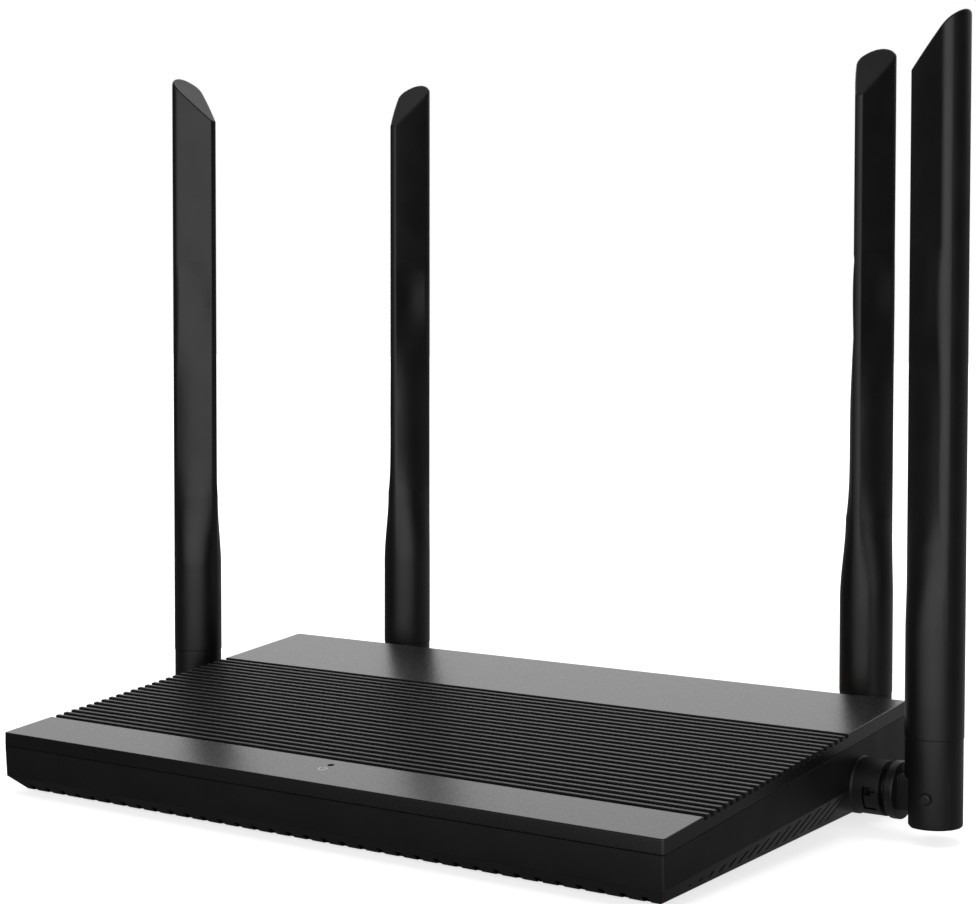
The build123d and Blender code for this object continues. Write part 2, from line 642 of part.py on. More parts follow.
def case_screws():
    """Four screws that hold the lid from below."""
    head = Cylinder(CASE_SCREW_HEAD_RADIUS, CASE_SCREW_HEAD_HEIGHT, align=CENTRE_TO_TOP)
    head -= [Rot(180, 0, 0) * arm for arm in cross_recess(0)]
    screw = head + upright(CASE_SCREW_RADIUS, 0, 0, CASE_SCREW_HEAD_HEIGHT, CASE_SCREW_LENGTH)
    low = BASE_Z + CASE_SCREW_RECESS - CASE_SCREW_HEAD_HEIGHT
    return Compound(children=[Pos(x, y, low) * screw for x, y in case_screw_places()])


def board_screws():
    """Four screws that hold the circuit board on its standoffs."""
    head = Cylinder(BOARD_SCREW_HEAD_RADIUS, BOARD_SCREW_HEAD_HEIGHT, align=CENTRE_TO_TOP)
    head -= cross_recess(BOARD_SCREW_HEAD_HEIGHT)
    screw = head + upright(BOARD_SCREW_RADIUS, 0, 0, -BOARD_SCREW_LENGTH, 0)
    return Compound(children=[Pos(x, behind(y), BOARD_TOP) * screw for x, y in BOARD_SCREW_PLACES])


# ------------------------------------------------------------------ circuit board and its parts


def main_board():
    """The circuit board, with a tongue that carries the ports."""
    front = behind(BOARD_FRONT)
    rear = REAR_Y - BOARD_REAR_GAP
    width = CASE_WIDTH - 2 * BOARD_SIDE_GAP
    board = block((width, rear - front, BOARD_THICKNESS), 0, (front + rear) / 2, BOARD_Z)
    tongue_end = REAR_Y - BOARD_TONGUE_GAP
    middle = (BOARD_TONGUE_LEFT + BOARD_TONGUE_RIGHT) / 2
    size = (BOARD_TONGUE_RIGHT - BOARD_TONGUE_LEFT, tongue_end - rear + SPARE, BOARD_THICKNESS)
    board += block(size, middle, (tongue_end + rear - SPARE) / 2, BOARD_Z)
    low = BOARD_Z - SPARE
    high = BOARD_TOP + SPARE
    board -= [upright(BOSS_RADIUS + HOLE_GAP, x, y, low, high) for x, y in case_screw_places()]
    hole = BOARD_SCREW_RADIUS + HOLE_GAP
    board -= [upright(hole, x, behind(y), low, high) for x, y in BOARD_SCREW_PLACES]
    return board


def heat_sink():
    """A finned block on the processor."""
    x, y = CHIP_PLACE
    width, depth, height = SINK_SIZE
    low = BOARD_TOP + CHIP_SIZE[2]
    sink = block((width, depth, SINK_BASE), x, behind(y), low)
    pitch = (width - SINK_FIN_THICKNESS) / (SINK_FINS - 1)
    for i in range(SINK_FINS):
        at = x - (width - SINK_FIN_THICKNESS) / 2 + i * pitch
        sink += block((SINK_FIN_THICKNESS, depth, height), at, behind(y), low)
    return sink


def on_board(size, places):
    """One or more plain blocks that stand on the board."""
    return Compound(children=[block(size, x, behind(y), BOARD_TOP) for x, y in places])


def capacitors():
    """Two upright capacitors beside the power socket."""
    high = BOARD_TOP + CAPACITOR_HEIGHT
    return Compound(
        children=[upright(CAPACITOR_RADIUS, x, behind(y), BOARD_TOP, high) for x, y in CAPACITOR_PLACES]
    )


def light_pipe():
    """A clear pipe from the lamp to the lid, with a flange under the lid."""
    y = behind(LED_PLACE)
    low = BOARD_TOP + LED_SIZE[2] + PIPE_STANDOFF
    front_top = (0, FRONT_Y, FRONT_TOP_Z)
    pipe = trim(upright(PIPE_RADIUS, 0, y, low, BIG), front_top, TOP_NORMAL, PIPE_SUNK)
    under = top_z(y) - LID_THICKNESS * hypot(1, TOP_SLOPE)
    flange = upright(PIPE_FLANGE_RADIUS, 0, y, under - PIPE_FLANGE_HEIGHT, BIG)
    return pipe + trim(flange, front_top, TOP_NORMAL, LID_THICKNESS)


# ------------------------------------------------------------------ ports


def jack(x):
    """A network socket with its latch recess below."""
    front = REAR_Y + PORT_PROUD
    body = block((JACK_WIDTH, JACK_DEPTH, JACK_HEIGHT), x, front - JACK_DEPTH / 2, BOARD_TOP)
    sill = BOARD_TOP + SOCKET_SILL
    depth = SOCKET_DEPTH + SPARE
    middle = front - SOCKET_DEPTH + depth / 2
    body -= block((SOCKET_WIDTH, depth, SOCKET_HEIGHT), x, middle, sill)
    body -= block((LATCH_WIDTH, depth, LATCH_HEIGHT + SPARE), x, middle, sill - LATCH_HEIGHT)
    return body


def jack_contacts():
    """The eight spring contacts under each socket's ceiling."""
    contacts = []
    back = REAR_Y + PORT_PROUD - SOCKET_DEPTH
    mouth = REAR_Y + PORT_PROUD - CONTACT_SET_BACK
    ceiling = BOARD_TOP + SOCKET_SILL + SOCKET_HEIGHT
    wire = Polyline(
        (back, ceiling),
        (mouth, ceiling),
        (mouth, ceiling - CONTACT_THICKNESS),
        (mouth - CONTACT_DROP, ceiling - CONTACT_THICKNESS),
        (back + CONTACT_THICKNESS, ceiling - CONTACT_DROP - CONTACT_THICKNESS),
        (back, ceiling - CONTACT_DROP),
        close=True,
    )
    shape = extrude(Plane.YZ * make_face(wire), CONTACT_WIDTH / 2, both=True)
    for x in (WAN_PLACE,) + LAN_PLACES:
        for i in range(CONTACT_COUNT):
            at = x + (i - (CONTACT_COUNT - 1) / 2) * CONTACT_PITCH
            contacts.append(Pos(at, 0, 0) * shape)
    return Compound(children=contacts)


def power_jack():
    """The round power socket's housing."""
    front = REAR_Y + PORT_PROUD
    size = (POWER_WIDTH, POWER_DEPTH, POWER_HEIGHT)
    body = block(size, POWER_PLACE, front - POWER_DEPTH / 2, BOARD_TOP)
    z = BOARD_TOP + POWER_BORE_HEIGHT
    return body - along_y(POWER_BORE, front - POWER_BORE_DEPTH, front + SPARE, POWER_PLACE, z)


def power_pin():
    """The power socket's centre pin."""
    front = REAR_Y + PORT_PROUD
    z = BOARD_TOP + POWER_BORE_HEIGHT
    return along_y(POWER_PIN, front - POWER_BORE_DEPTH, front - POWER_PIN_SET_BACK, POWER_PLACE, z)


# ------------------------------------------------------------------ push button


def push_button():
    """The cap, its collar behind the wall, and the stem into the switch."""
    z = BOARD_TOP + BUTTON_HEIGHT
    inner = REAR_Y - WALL - COLLAR_GAP
    cap = along_y(BUTTON_RADIUS, inner - COLLAR_THICKNESS, REAR_Y + BUTTON_PROUD, BUTTON_PLACE, z)
    cap = fillet(cap.edges().sort_by(Axis.Y)[-1], BUTTON_EDGE)
    collar = along_y(COLLAR_RADIUS, inner - COLLAR_THICKNESS, inner, BUTTON_PLACE, z)
    end = inner - COLLAR_THICKNESS - STEM_LENGTH - STEM_ENTRY
    return cap + collar + along_y(STEM_RADIUS, end, inner, BUTTON_PLACE, z)


def button_switch():
    """The switch on the board that the button's stem enters."""
    face = REAR_Y - WALL - COLLAR_GAP - COLLAR_THICKNESS - STEM_LENGTH
    size = (SWITCH_WIDTH, SWITCH_DEPTH, 2 * BUTTON_HEIGHT)
    body = block(size, BUTTON_PLACE, face - SWITCH_DEPTH / 2, BOARD_TOP)
    deep = STEM_ENTRY + BUTTON_TRAVEL + SWITCH_SPARE
    z = BOARD_TOP + BUTTON_HEIGHT
    return body - along_y(STEM_RADIUS + BUTTON_GAP, face - deep, face + SPARE, BUTTON_PLACE, z)


# ------------------------------------------------------------------ swivels
#
# Swivels and antennas are made in the hub's own frame: X outwards along the swivel's
# axis, the antenna's axis upright through the origin, the pin parallel to Y.


def swivel(reach):
    """The swivel: bush in the hub, disc, and the block in the antenna's slot."""
    inner = -reach - BUSH_INSIDE
    body = along_x(BUSH_RADIUS, inner, -DISC_INNER)
    groove_start = -WINDOW_START + TONGUE_SLOT
    groove = along_x(BUSH_RADIUS + SPARE, groove_start, groove_start + GROOVE_LENGTH)
    body -= groove - along_x(BUSH_RADIUS - GROOVE_REACH, groove_start, groove_start + GROOVE_LENGTH)
    disc = along_x(DISC_RADIUS, -DISC_INNER, -DISC_OUTER)
    body += fillet(disc.edges().filter_by(GeomType.CIRCLE), DISC_EDGE)
    arm = Box(PIN_OFFSET + DISC_OUTER, BLOCK_WIDTH, 2 * BLOCK_RADIUS, align=FROM_X)
    arm = Pos(-DISC_OUTER, 0, 0) * arm
    arm += along_y(BLOCK_RADIUS, -BLOCK_WIDTH / 2, BLOCK_WIDTH / 2, PIN_OFFSET)
    edges = arm.faces().filter_by(Axis.Y).edges() - arm.faces().sort_by(Axis.X)[0].edges()
    body += fillet(edges, BLOCK_EDGE)
    body -= along_x(BUSH_BORE, inner - SPARE, -DISC_OUTER + BUSH_BORE)
    reach_y = BLOCK_WIDTH / 2 + SPARE
    return body - along_y(PIN_RADIUS + PIN_GAP, -reach_y, reach_y, PIN_OFFSET)


# ------------------------------------------------------------------ antennas


def sleeve():
    """The antenna's foot: two cheeks round the swivel's block, and a spigot."""
    radius = SLEEVE_RADIUS
    top = SLEEVE_ABOVE + SPIGOT_LENGTH
    body = upright(radius, 0, 0, -SLEEVE_BELOW, SLEEVE_ABOVE)
    body = fillet(body.edges().group_by(Axis.Z)[0], SLEEVE_EDGE)
    body += upright(SPIGOT_RADIUS, 0, 0, SLEEVE_ABOVE, top)
    ceiling = BLOCK_RADIUS + SLOT_END_GAP
    low = -SLEEVE_BELOW - SPARE
    back = -radius - SPARE
    wide = BLOCK_WIDTH + 2 * SLOT_SIDE_GAP
    far = PIN_OFFSET + ceiling
    body -= block((far - back, wide, ceiling - low), (far + back) / 2, 0, low)
    body -= block((-FLAT_OFFSET - back, 2 * radius, ceiling - low), (back - FLAT_OFFSET) / 2, 0, low)
    corner = block((PIN_OFFSET - back, 2 * radius, -low), (PIN_OFFSET + back) / 2, 0, low)
    body -= corner - along_y(SWING_RADIUS, -radius, radius, PIN_OFFSET)
    body -= along_y(PIN_RADIUS + PIN_GAP, -radius - SPARE, radius + SPARE, PIN_OFFSET)
    seat = head_seat()
    for side in (-1, 1):
        start, end = sorted((side * seat, side * (radius + SPARE)))
        body -= along_y(PIN_HEAD_RADIUS + PIN_GAP, start, end, PIN_OFFSET)
    return body - upright(PIGTAIL_RADIUS + PIGTAIL_GAP, PIN_OFFSET, 0, 0, top + SPARE)


def head_seat():
    """How far from the middle the pin's heads seat."""
    return sqrt(SLEEVE_RADIUS**2 - PIN_OFFSET**2) - PIN_HEAD_DEPTH


def hinge_pin():
    """The pin through the cheeks, with a low rounded head at each end."""
    seat = head_seat()
    end = seat + PIN_HEAD_DEPTH + PIN_DOME
    head = along_y(PIN_HEAD_RADIUS, seat, end, PIN_OFFSET)
    head = fillet(head.edges().sort_by(Axis.Y)[-1], PIN_DOME)
    pin = along_y(PIN_RADIUS, -seat, seat, PIN_OFFSET)
    return pin + head + head.mirror(Plane.XZ)


def on_arc(centre, radius, angle):
    """A point on an arc."""
    return (centre[0] + radius * cos(angle), centre[1] + radius * sin(angle))


def arc_middle(centre, radius, start, end):
    """The middle of an arc between two points on it."""
    x, y = (start[0] + end[0]) / 2 - centre[0], (start[1] + end[1]) / 2 - centre[1]
    return (centre[0] + x * radius / hypot(x, y), centre[1] + y * radius / hypot(x, y))


def flank_centre(shoulder, radius):
    """The centre of a flank's arc, which leaves the shoulder's arc without a break."""
    x, y = shoulder
    run = (-SHAFT_RADIUS - x, BLADE_FLAT - y)
    length = hypot(*run)
    along = (length**2 + BLADE_SHOULDER_RADIUS**2 - 2 * radius * BLADE_SHOULDER_RADIUS) / (2 * length)
    across = sqrt((radius - BLADE_SHOULDER_RADIUS) ** 2 - along**2)
    unit = (run[0] / length, run[1] / length)
    return (x + along * unit[0] - across * unit[1], y + along * unit[1] + across * unit[0])


def blade_points(flank_radius, wall, half):
    """The points of half the blade's bullet section, or of its hollow behind a wall.

    They run from the middle of the narrow face, which faces the case, round to the
    middle of the outer face. Half is half the width of the narrow face.
    """
    shoulder = on_arc((0, 0), SHAFT_RADIUS - BLADE_SHOULDER_RADIUS, radians(BLADE_SHOULDER))
    centre = flank_centre(shoulder, flank_radius)
    turn = atan2(shoulder[1] - centre[1], shoulder[0] - centre[0])
    start = on_arc(shoulder, BLADE_SHOULDER_RADIUS - wall, turn)
    end = on_arc((0, 0), SHAFT_RADIUS - wall, radians(BLADE_SHOULDER))
    back = centre[0] - sqrt((flank_radius - wall) ** 2 - (half - centre[1]) ** 2)
    corner = (back, half)
    return [
        (back - BLADE_TAIL_BULGE, 0),
        corner,
        arc_middle(centre, flank_radius - wall, corner, start),
        start,
        arc_middle(shoulder, BLADE_SHOULDER_RADIUS - wall, start, end),
        end,
        (SHAFT_RADIUS - wall, 0),
    ]


def blade_section(share, flank_radius, wall, half):
    """A section of the blade: share 0 is the round shaft and 1 the bullet shape."""
    points = []
    for x, y in blade_points(flank_radius, wall, half):
        stretch = (1 - share) * (SHAFT_RADIUS - wall) / hypot(x, y) + share
        points.append((x * stretch, y * stretch))
    tail, corner, flank, start, bend, end, tip = points
    low = [(x, -y) for x, y in points]
    outline = ThreePointArc(low[1], tail, corner)
    outline += ThreePointArc(corner, flank, start)
    outline += ThreePointArc(start, bend, end)
    outline += ThreePointArc(end, tip, low[5])
    outline += ThreePointArc(low[5], low[4], low[3])
    outline += ThreePointArc(low[3], low[2], low[1])
    return make_face(outline)


def blade_form(wall, half, tip_inset):
    """The blade's outer form, or the form of its hollow."""
    shaft = upright(SHAFT_RADIUS - wall, 0, 0, SLEEVE_ABOVE, TRANSITION_START)
    change = []
    for i in range(TRANSITION_SECTIONS):
        share = i / (TRANSITION_SECTIONS - 1)
        z = TRANSITION_START + share * (TRANSITION_END - TRANSITION_START)
        smooth = share**2 * (3 - 2 * share)
        change.append(Pos(0, 0, z) * blade_section(smooth, FLANK_RADIUS_LOW, wall, half))
    flatten = [change[-1]]
    for i in range(1, BLADE_STEPS + 1):
        share = i / BLADE_STEPS
        z = TRANSITION_END + share**2 * (BLADE_EVEN - TRANSITION_END)
        radius = 1 / ((1 - share) / FLANK_RADIUS_LOW + share / FLANK_RADIUS_HIGH)
        flatten.append(Pos(0, 0, z) * blade_section(1, radius, wall, half))
    climb = tan(radians(TIP_ANGLE))
    high = TIP_LOW + 2 * SHAFT_RADIUS * (climb + 1)
    bullet = extrude(flatten[-1], high - BLADE_EVEN, dir=(0, 0, 1))
    bullet = trim(bullet, (-SHAFT_RADIUS, 0, TIP_LOW), (-climb, 0, 1), tip_inset)
    return shaft, loft(change), loft(flatten), bullet


def blade():
    """The antenna's sheath: round at the sleeve, bullet-shaped above, cut at a slant."""
    outer = list(blade_form(0.0, BLADE_FLAT, 0.0))
    tip = outer[-1].faces().sort_by(Axis.Z)[-1]
    outer[-1] = fillet(tip.edges(), TIP_EDGE)
    inner = blade_form(BLADE_WALL, BLADE_FLAT_INSIDE, TIP_THICKNESS)
    lengths = [solid - hollow for solid, hollow in zip(outer, inner)]
    return lengths[0] + lengths[1:]


def radiator():
    """The wire and tube inside the blade, which stand on the sleeve's spigot."""
    foot = SLEEVE_ABOVE + SPIGOT_LENGTH
    top = foot + RADIATOR_LENGTH
    end = top + WHIP_LENGTH
    wire = upright(PIGTAIL_RADIUS, PIN_OFFSET, 0, BLOCK_RADIUS + 2 * SLOT_END_GAP, foot)
    wire += upright(RADIATOR_RADIUS, PIN_OFFSET, 0, foot, top)
    wire += upright(WHIP_RADIUS, PIN_OFFSET, 0, top, end)
    return wire + upright(WHIP_BEAD, PIN_OFFSET, 0, end, end + WHIP_BEAD)


# ------------------------------------------------------------------ leads inside the case


def lead_route(x, y, turn, reach):
    """A lead's corners, from inside the hub's bush to its plug on the board."""
    side = 1 if x > 0 else -1
    inset, place = SIDE_PLUG_PLACE if reach == SIDE_REACH else REAR_PLUG_PLACE
    plug = Vector(side * (HALF - inset), behind(place), BOARD_TOP + LEAD_HEIGHT)
    axis = Vector(x, y, HUB_HEIGHT)
    outward = Vector(cos(radians(turn)), sin(radians(turn)), 0)
    start = axis - outward * (reach + BUSH_INSIDE - LEAD_START)
    clear = axis - outward * (reach + BUSH_INSIDE + LEAD_CLEAR)
    entry = Vector(0, 1, 0)
    end = plug + entry * (PLUG_RADIUS + FERRULE)
    return plug, [start, clear, end + entry * LEAD_ENTRY, end]


def coax_lead(x, y, turn, reach):
    """A thin lead, with arcs as large as its runs allow."""
    _, points = lead_route(x, y, turn, reach)
    radii = []
    for before, at, after in zip(points, points[1:], points[2:]):
        bend = radians((at - before).get_angle(after - at))
        radii.append(ARC_SHARE * min((at - before).length, (after - at).length) / tan(bend / 2))
    path = FilletPolyline(*points, radius=radii)
    section = Plane(origin=points[0], z_dir=points[1] - points[0]) * Circle(LEAD_RADIUS)
    return sweep(section, path=path)


def coax_plugs():
    """The four plugs on the board, each with a ferrule that its lead enters."""
    plugs = []
    for _, x, y, turn, reach, _ in HUBS:
        at, points = lead_route(x, y, turn, reach)
        plug = upright(PLUG_RADIUS, at.X, at.Y, BOARD_TOP, BOARD_TOP + PLUG_HEIGHT)
        plugs.append(plug + along_y(FERRULE_RADIUS, at.Y, points[-1].Y, at.X, at.Z))
    return Compound(children=plugs)


# ------------------------------------------------------------------ write the sub-parts

save(bottom_case(), "bottom_case")
save(top_cover(), "top_cover")
save(rubber_feet(), "rubber_feet")
save(case_screws(), "case_screws")
save(main_board(), "main_board")
save(board_screws(), "board_screws")
save(on_board(CHIP_SIZE, [CHIP_PLACE]), "processor")
save(heat_sink(), "heat_sink")
save(on_board(SHIELD_SIZE, [SHIELD_PLACE]), "radio_shield")
save(on_board(MEMORY_SIZE, [MEMORY_PLACE]), "memory_chip")
save(on_board(MAGNETICS_SIZE, MAGNETICS_PLACES), "port_transformers")
save(capacitors(), "capacitors")
save(on_board(LED_SIZE, [(0, LED_PLACE)]), "status_lamp")
save(light_pipe(), "light_pipe")
save(jack(WAN_PLACE), "wan_jack")
for number, place in enumerate(LAN_PLACES, start=1):
    save(jack(place), f"lan_jack_{number}")
save(jack_contacts(), "jack_contacts")
save(power_jack(), "power_jack")
save(power_pin(), "power_pin")
save(button_switch(), "button_switch")
save(push_button(), "push_button")
save(coax_plugs(), "coax_plugs")
for name, x, y, turn, reach, _ in HUBS:
    frame = hub_frame(x, y, turn)
    save(coax_lead(x, y, turn, reach), f"lead_{name}")
    save(frame * swivel(reach), f"swivel_{name}")
    save(frame * sleeve(), f"sleeve_{name}")
    save(frame * blade(), f"blade_{name}")
    save(frame * radiator(), f"radiator_{name}")
    save(frame * hinge_pin(), f"pin_{name}")
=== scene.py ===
import json
import math

import bmesh
import bpy
from mathutils import Matrix, Vector


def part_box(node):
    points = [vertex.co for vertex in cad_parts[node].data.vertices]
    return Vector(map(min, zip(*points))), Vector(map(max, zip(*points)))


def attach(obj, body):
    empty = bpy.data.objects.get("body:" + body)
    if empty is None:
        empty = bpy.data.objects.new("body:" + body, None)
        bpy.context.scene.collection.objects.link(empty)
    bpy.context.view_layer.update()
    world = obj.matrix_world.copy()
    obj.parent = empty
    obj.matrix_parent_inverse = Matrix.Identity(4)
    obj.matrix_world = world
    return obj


# A black wireless router on a white floor. Lengths are in metres, in the CAD's frame.

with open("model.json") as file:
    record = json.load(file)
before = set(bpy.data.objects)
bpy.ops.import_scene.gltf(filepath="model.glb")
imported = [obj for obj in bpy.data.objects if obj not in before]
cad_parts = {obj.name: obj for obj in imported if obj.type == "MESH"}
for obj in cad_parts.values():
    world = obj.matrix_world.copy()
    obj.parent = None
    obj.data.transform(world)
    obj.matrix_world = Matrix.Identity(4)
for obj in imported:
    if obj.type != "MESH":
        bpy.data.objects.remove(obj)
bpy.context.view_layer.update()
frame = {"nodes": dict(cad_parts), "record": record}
nodes = frame["nodes"]

MM = 0.001
RIBS_FROM = 16.4 * MM  # the ribs start that far behind the lid's front edge
RIBS_TO = 32.7 * MM  # and end that far ahead of its rear edge

LID_LOW, LID_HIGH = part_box("top_cover")
FRONT_Y = LID_LOW.y
REAR_Y = LID_HIGH.y

bpy.context.scene.view_settings.view_transform = "Standard"

# ------------------------------------------------------------------ camera

FOCAL_LENGTH = 79.714
SENSOR_WIDTH = 36.0
CAMERA_PLACE = (0.3292, -0.45708, 0.12258)
CAMERA_YAW = 35.757
CAMERA_PITCH = 2.385
CAMERA_ROLL = 0.064
CAMERA_SHIFT = (0.00536, -0.03883)


def add_camera():
    data = bpy.data.cameras.new("camera")
    data.sensor_fit = "HORIZONTAL"
    data.sensor_width = SENSOR_WIDTH
    data.lens = FOCAL_LENGTH
    data.shift_x, data.shift_y = CAMERA_SHIFT
    data.clip_start = 0.01
    data.clip_end = 50.0
    camera = bpy.data.objects.new("camera", data)
    bpy.context.scene.collection.objects.link(camera)
    turn = Matrix.Rotation(math.radians(CAMERA_YAW), 4, "Z")
    tilt = Matrix.Rotation(math.radians(90 - CAMERA_PITCH), 4, "X")
    roll = Matrix.Rotation(math.radians(CAMERA_ROLL), 4, "Z")
    camera.matrix_world = Matrix.Translation(CAMERA_PLACE) @ turn @ tilt @ roll
    bpy.context.scene.camera = camera


add_camera()

# ------------------------------------------------------------------ node helpers


class Shader:
    """A material and the few node calls that its makers need."""

    def __init__(self, name):
        self.material = bpy.data.materials.new(name)
        self.material.use_nodes = True
        self.tree = self.material.node_tree
        self.bsdf = self.tree.nodes["Principled BSDF"]
        self.place = self.new("ShaderNodeTexCoord").outputs["Object"]

    def new(self, kind, **settings):
        node = self.tree.nodes.new(kind)
        for key, value in settings.items():
            setattr(node, key, value)
        return node

    def put(self, socket, value):
        """Links a node's output to a socket, or sets the socket's own value."""
        if isinstance(value, bpy.types.NodeSocket):
            self.tree.links.new(value, socket)
        else:
            socket.default_value = value

    def feed(self, node, **values):
        """Puts values into a node's sockets, named with _ for each space."""
        for key, value in values.items():
            self.put(node.inputs[key.replace("_", " ")], value)
        return node

    def noise(self, size, detail=2.0, roughness=0.5, place=None):
        """Noise whose features are about that many metres across."""
        node = self.new("ShaderNodeTexNoise")
        self.feed(node, Vector=place or self.place, Scale=1.0 / size, Detail=detail, Roughness=roughness)
        return node.outputs["Fac"]

    def cells(self, size, feature):
        """Cells that are about that many metres across."""
        node = self.new("ShaderNodeTexVoronoi", feature=feature)
        self.feed(node, Vector=self.place, Scale=1.0 / size)
        return node.outputs["Distance"]

    def spread(self, value, low, high, start=0.0, end=1.0):
        """A value's range from start to end, mapped to low to high."""
        node = self.new("ShaderNodeMapRange")
        self.feed(node, Value=value, From_Min=start, From_Max=end, To_Min=low, To_Max=high)
        return node.outputs["Result"]

    def smooth(self, value, start, end):
        """A soft step from 0 to 1 while a value goes from start to end."""
        node = self.new("ShaderNodeMapRange", interpolation_type="SMOOTHSTEP")
        self.feed(node, Value=value, From_Min=start, From_Max=end)
        return node.outputs["Result"]

    def math(self, operation, first, second=0.0):
        node = self.new("ShaderNodeMath", operation=operation)
        for socket, value in zip(node.inputs, (first, second)):
            self.put(socket, value)
        return node.outputs[0]

    def dot(self, first, second):
        node = self.new("ShaderNodeVectorMath", operation="DOT_PRODUCT")
        self.put(node.inputs[0], first)
        self.put(node.inputs[1], second)
        return node.outputs["Value"]

    def split(self, vector):
        """The outputs X, Y and Z of a vector."""
        node = self.new("ShaderNodeSeparateXYZ")
        self.put(node.inputs[0], vector)
        return node.outputs

    def mix(self, share, first, second):
        """Two colours mixed by a share."""
        node = self.new("ShaderNodeMix", data_type="RGBA")
        sockets = (node.inputs[0], node.inputs[6], node.inputs[7])
        for socket, value in zip(sockets, (share, first, second)):
            self.put(socket, value)
        return node.outputs[2]

    def bevel(self, radius, samples=4):
        node = self.new("ShaderNodeBevel", samples=samples)
        self.feed(node, Radius=radius)
        return node.outputs["Normal"]

    def flat(self):
        """The surface's own normal."""
        return self.new("ShaderNodeNewGeometry").outputs["Normal"]

    def edges(self, rounded):
        """1 on edges, where the rounded normal departs from the flat one, and 0 elsewhere."""
        return self.spread(self.dot(self.flat(), rounded), 1.0, 0.0, 0.85, 0.995)

    def bump(self, height, distance, normal=None):
        """The normal of a relief that is that many metres high."""
        node = self.new("ShaderNodeBump")
        self.feed(node, Strength=1.0, Distance=distance, Height=height)
        if normal is not None:
            self.feed(node, Normal=normal)
        return node.outputs["Normal"]


class WorldShader(Shader):
    """The same helpers for the world's own node tree."""

    def __init__(self, name):
        self.material = bpy.data.worlds.new(name)
        self.material.use_nodes = True
        self.tree = self.material.node_tree
        self.tree.nodes.clear()
        self.place = self.new("ShaderNodeTexCoord").outputs["Generated"]


def tone(colour, factor):
    return tuple(min(c * factor, 1.0) for c in colour) + (1.0,)


def on_lid(x, behind, height=0.0):
    """The point at x and that far behind the lid's front edge, at a height above its surface."""
    above = Vector((x, FRONT_Y + behind, LID_HIGH.z + MM))
    _, place, normal, _ = nodes["top_cover"].ray_cast(above, Vector((0, 0, -1)))
    return place + normal * height


# ------------------------------------------------------------------ materials

BLACK = (0.0068, 0.0068, 0.0071)
SOOT = (0.0055, 0.0055, 0.0058)
WEAR = 0.12  # how much lighter and smoother the edges of moulded plastic are
UNEVEN = 0.04  # how far its roughness varies from place to place


def plastic(name, colour, roughness, grain, depth, rounding, specular=0.5, crevice_shade=0.0):
    """Moulded plastic with a spark-eroded grain. Grain, depth and rounding are in mm.

    Crevice shade is how much painted shade darkens its slots and crevices, where ambient occlusion finds
    them.
    """
    shader = Shader(name)
    rounded = shader.bevel(rounding * MM)
    edge = shader.edges(rounded)
    fine = shader.noise(grain * MM, 3.0, 0.6)
    pits = shader.cells(grain * 1.7 * MM, "SMOOTH_F1")
    broad = shader.noise(9 * MM, 2.0)
    height = shader.math("ADD", fine, shader.math("MULTIPLY", pits, 0.5))
    grained = shader.bump(height, depth * MM, rounded)
    patchy = shader.mix(broad, tone(colour, 0.85), tone(colour, 1.15))
    rubbed = shader.mix(shader.math("MULTIPLY", edge, WEAR), patchy, tone(colour, 2.2))
    # Painted shade: the colour goes darker where ambient occlusion finds slots, seams and crevices.
    if crevice_shade:
        open_sky = shader.new("ShaderNodeAmbientOcclusion", samples=6, only_local=True)
        shader.feed(open_sky, Distance=2.5 * MM)
        painted_crevice_shade = shader.spread(open_sky.outputs["AO"], crevice_shade, 0.0, 0.3, 0.75)
        rubbed = shader.mix(painted_crevice_shade, rubbed, tone(colour, 0.12))
    rough = shader.spread(broad, roughness - UNEVEN, roughness + UNEVEN, 0.3, 0.7)
    rough = shader.math("SUBTRACT", rough, shader.math("MULTIPLY", edge, 0.3 * WEAR))
    shader.feed(shader.bsdf, Base_Color=rubbed, Roughness=rough, Normal=grained)
    shader.bsdf.inputs["Specular IOR Level"].default_value = specular
    return shader.material


def ribbed_zone(shader):
    """Where the lid is ribbed, and where it lies in a groove between ribs, 0 to 1 each."""
    parts = shader.split(shader.place)
    front, rear = on_lid(0, 2 * MM), on_lid(0, REAR_Y - FRONT_Y - 3 * MM)
    slope = (rear.z - front.z) / (rear.y - front.y)
    rise = shader.math("MULTIPLY", parts["Y"], slope)
    top = shader.math("ADD", rise, front.z - slope * front.y)
    depth = shader.math("SUBTRACT", top, parts["Z"])
    sunk = shader.spread(depth, 0.0, 1.0, 0.03 * MM, 0.15 * MM)
    across = shader.math("ABSOLUTE", parts["X"])
    inside = shader.spread(across, 1.0, 0.0, LID_HIGH.x - 0.12 * MM, LID_HIGH.x - 0.04 * MM)
    first = FRONT_Y + RIBS_FROM
    last = REAR_Y - RIBS_TO
    behind = shader.spread(parts["Y"], 0.0, 1.0, first, first + 0.2 * MM)
    before = shader.spread(parts["Y"], 1.0, 0.0, last - 0.2 * MM, last)
    ribbed = shader.math("MULTIPLY", shader.math("MULTIPLY", behind, before), inside)
    return ribbed, shader.math("MULTIPLY", sunk, ribbed)


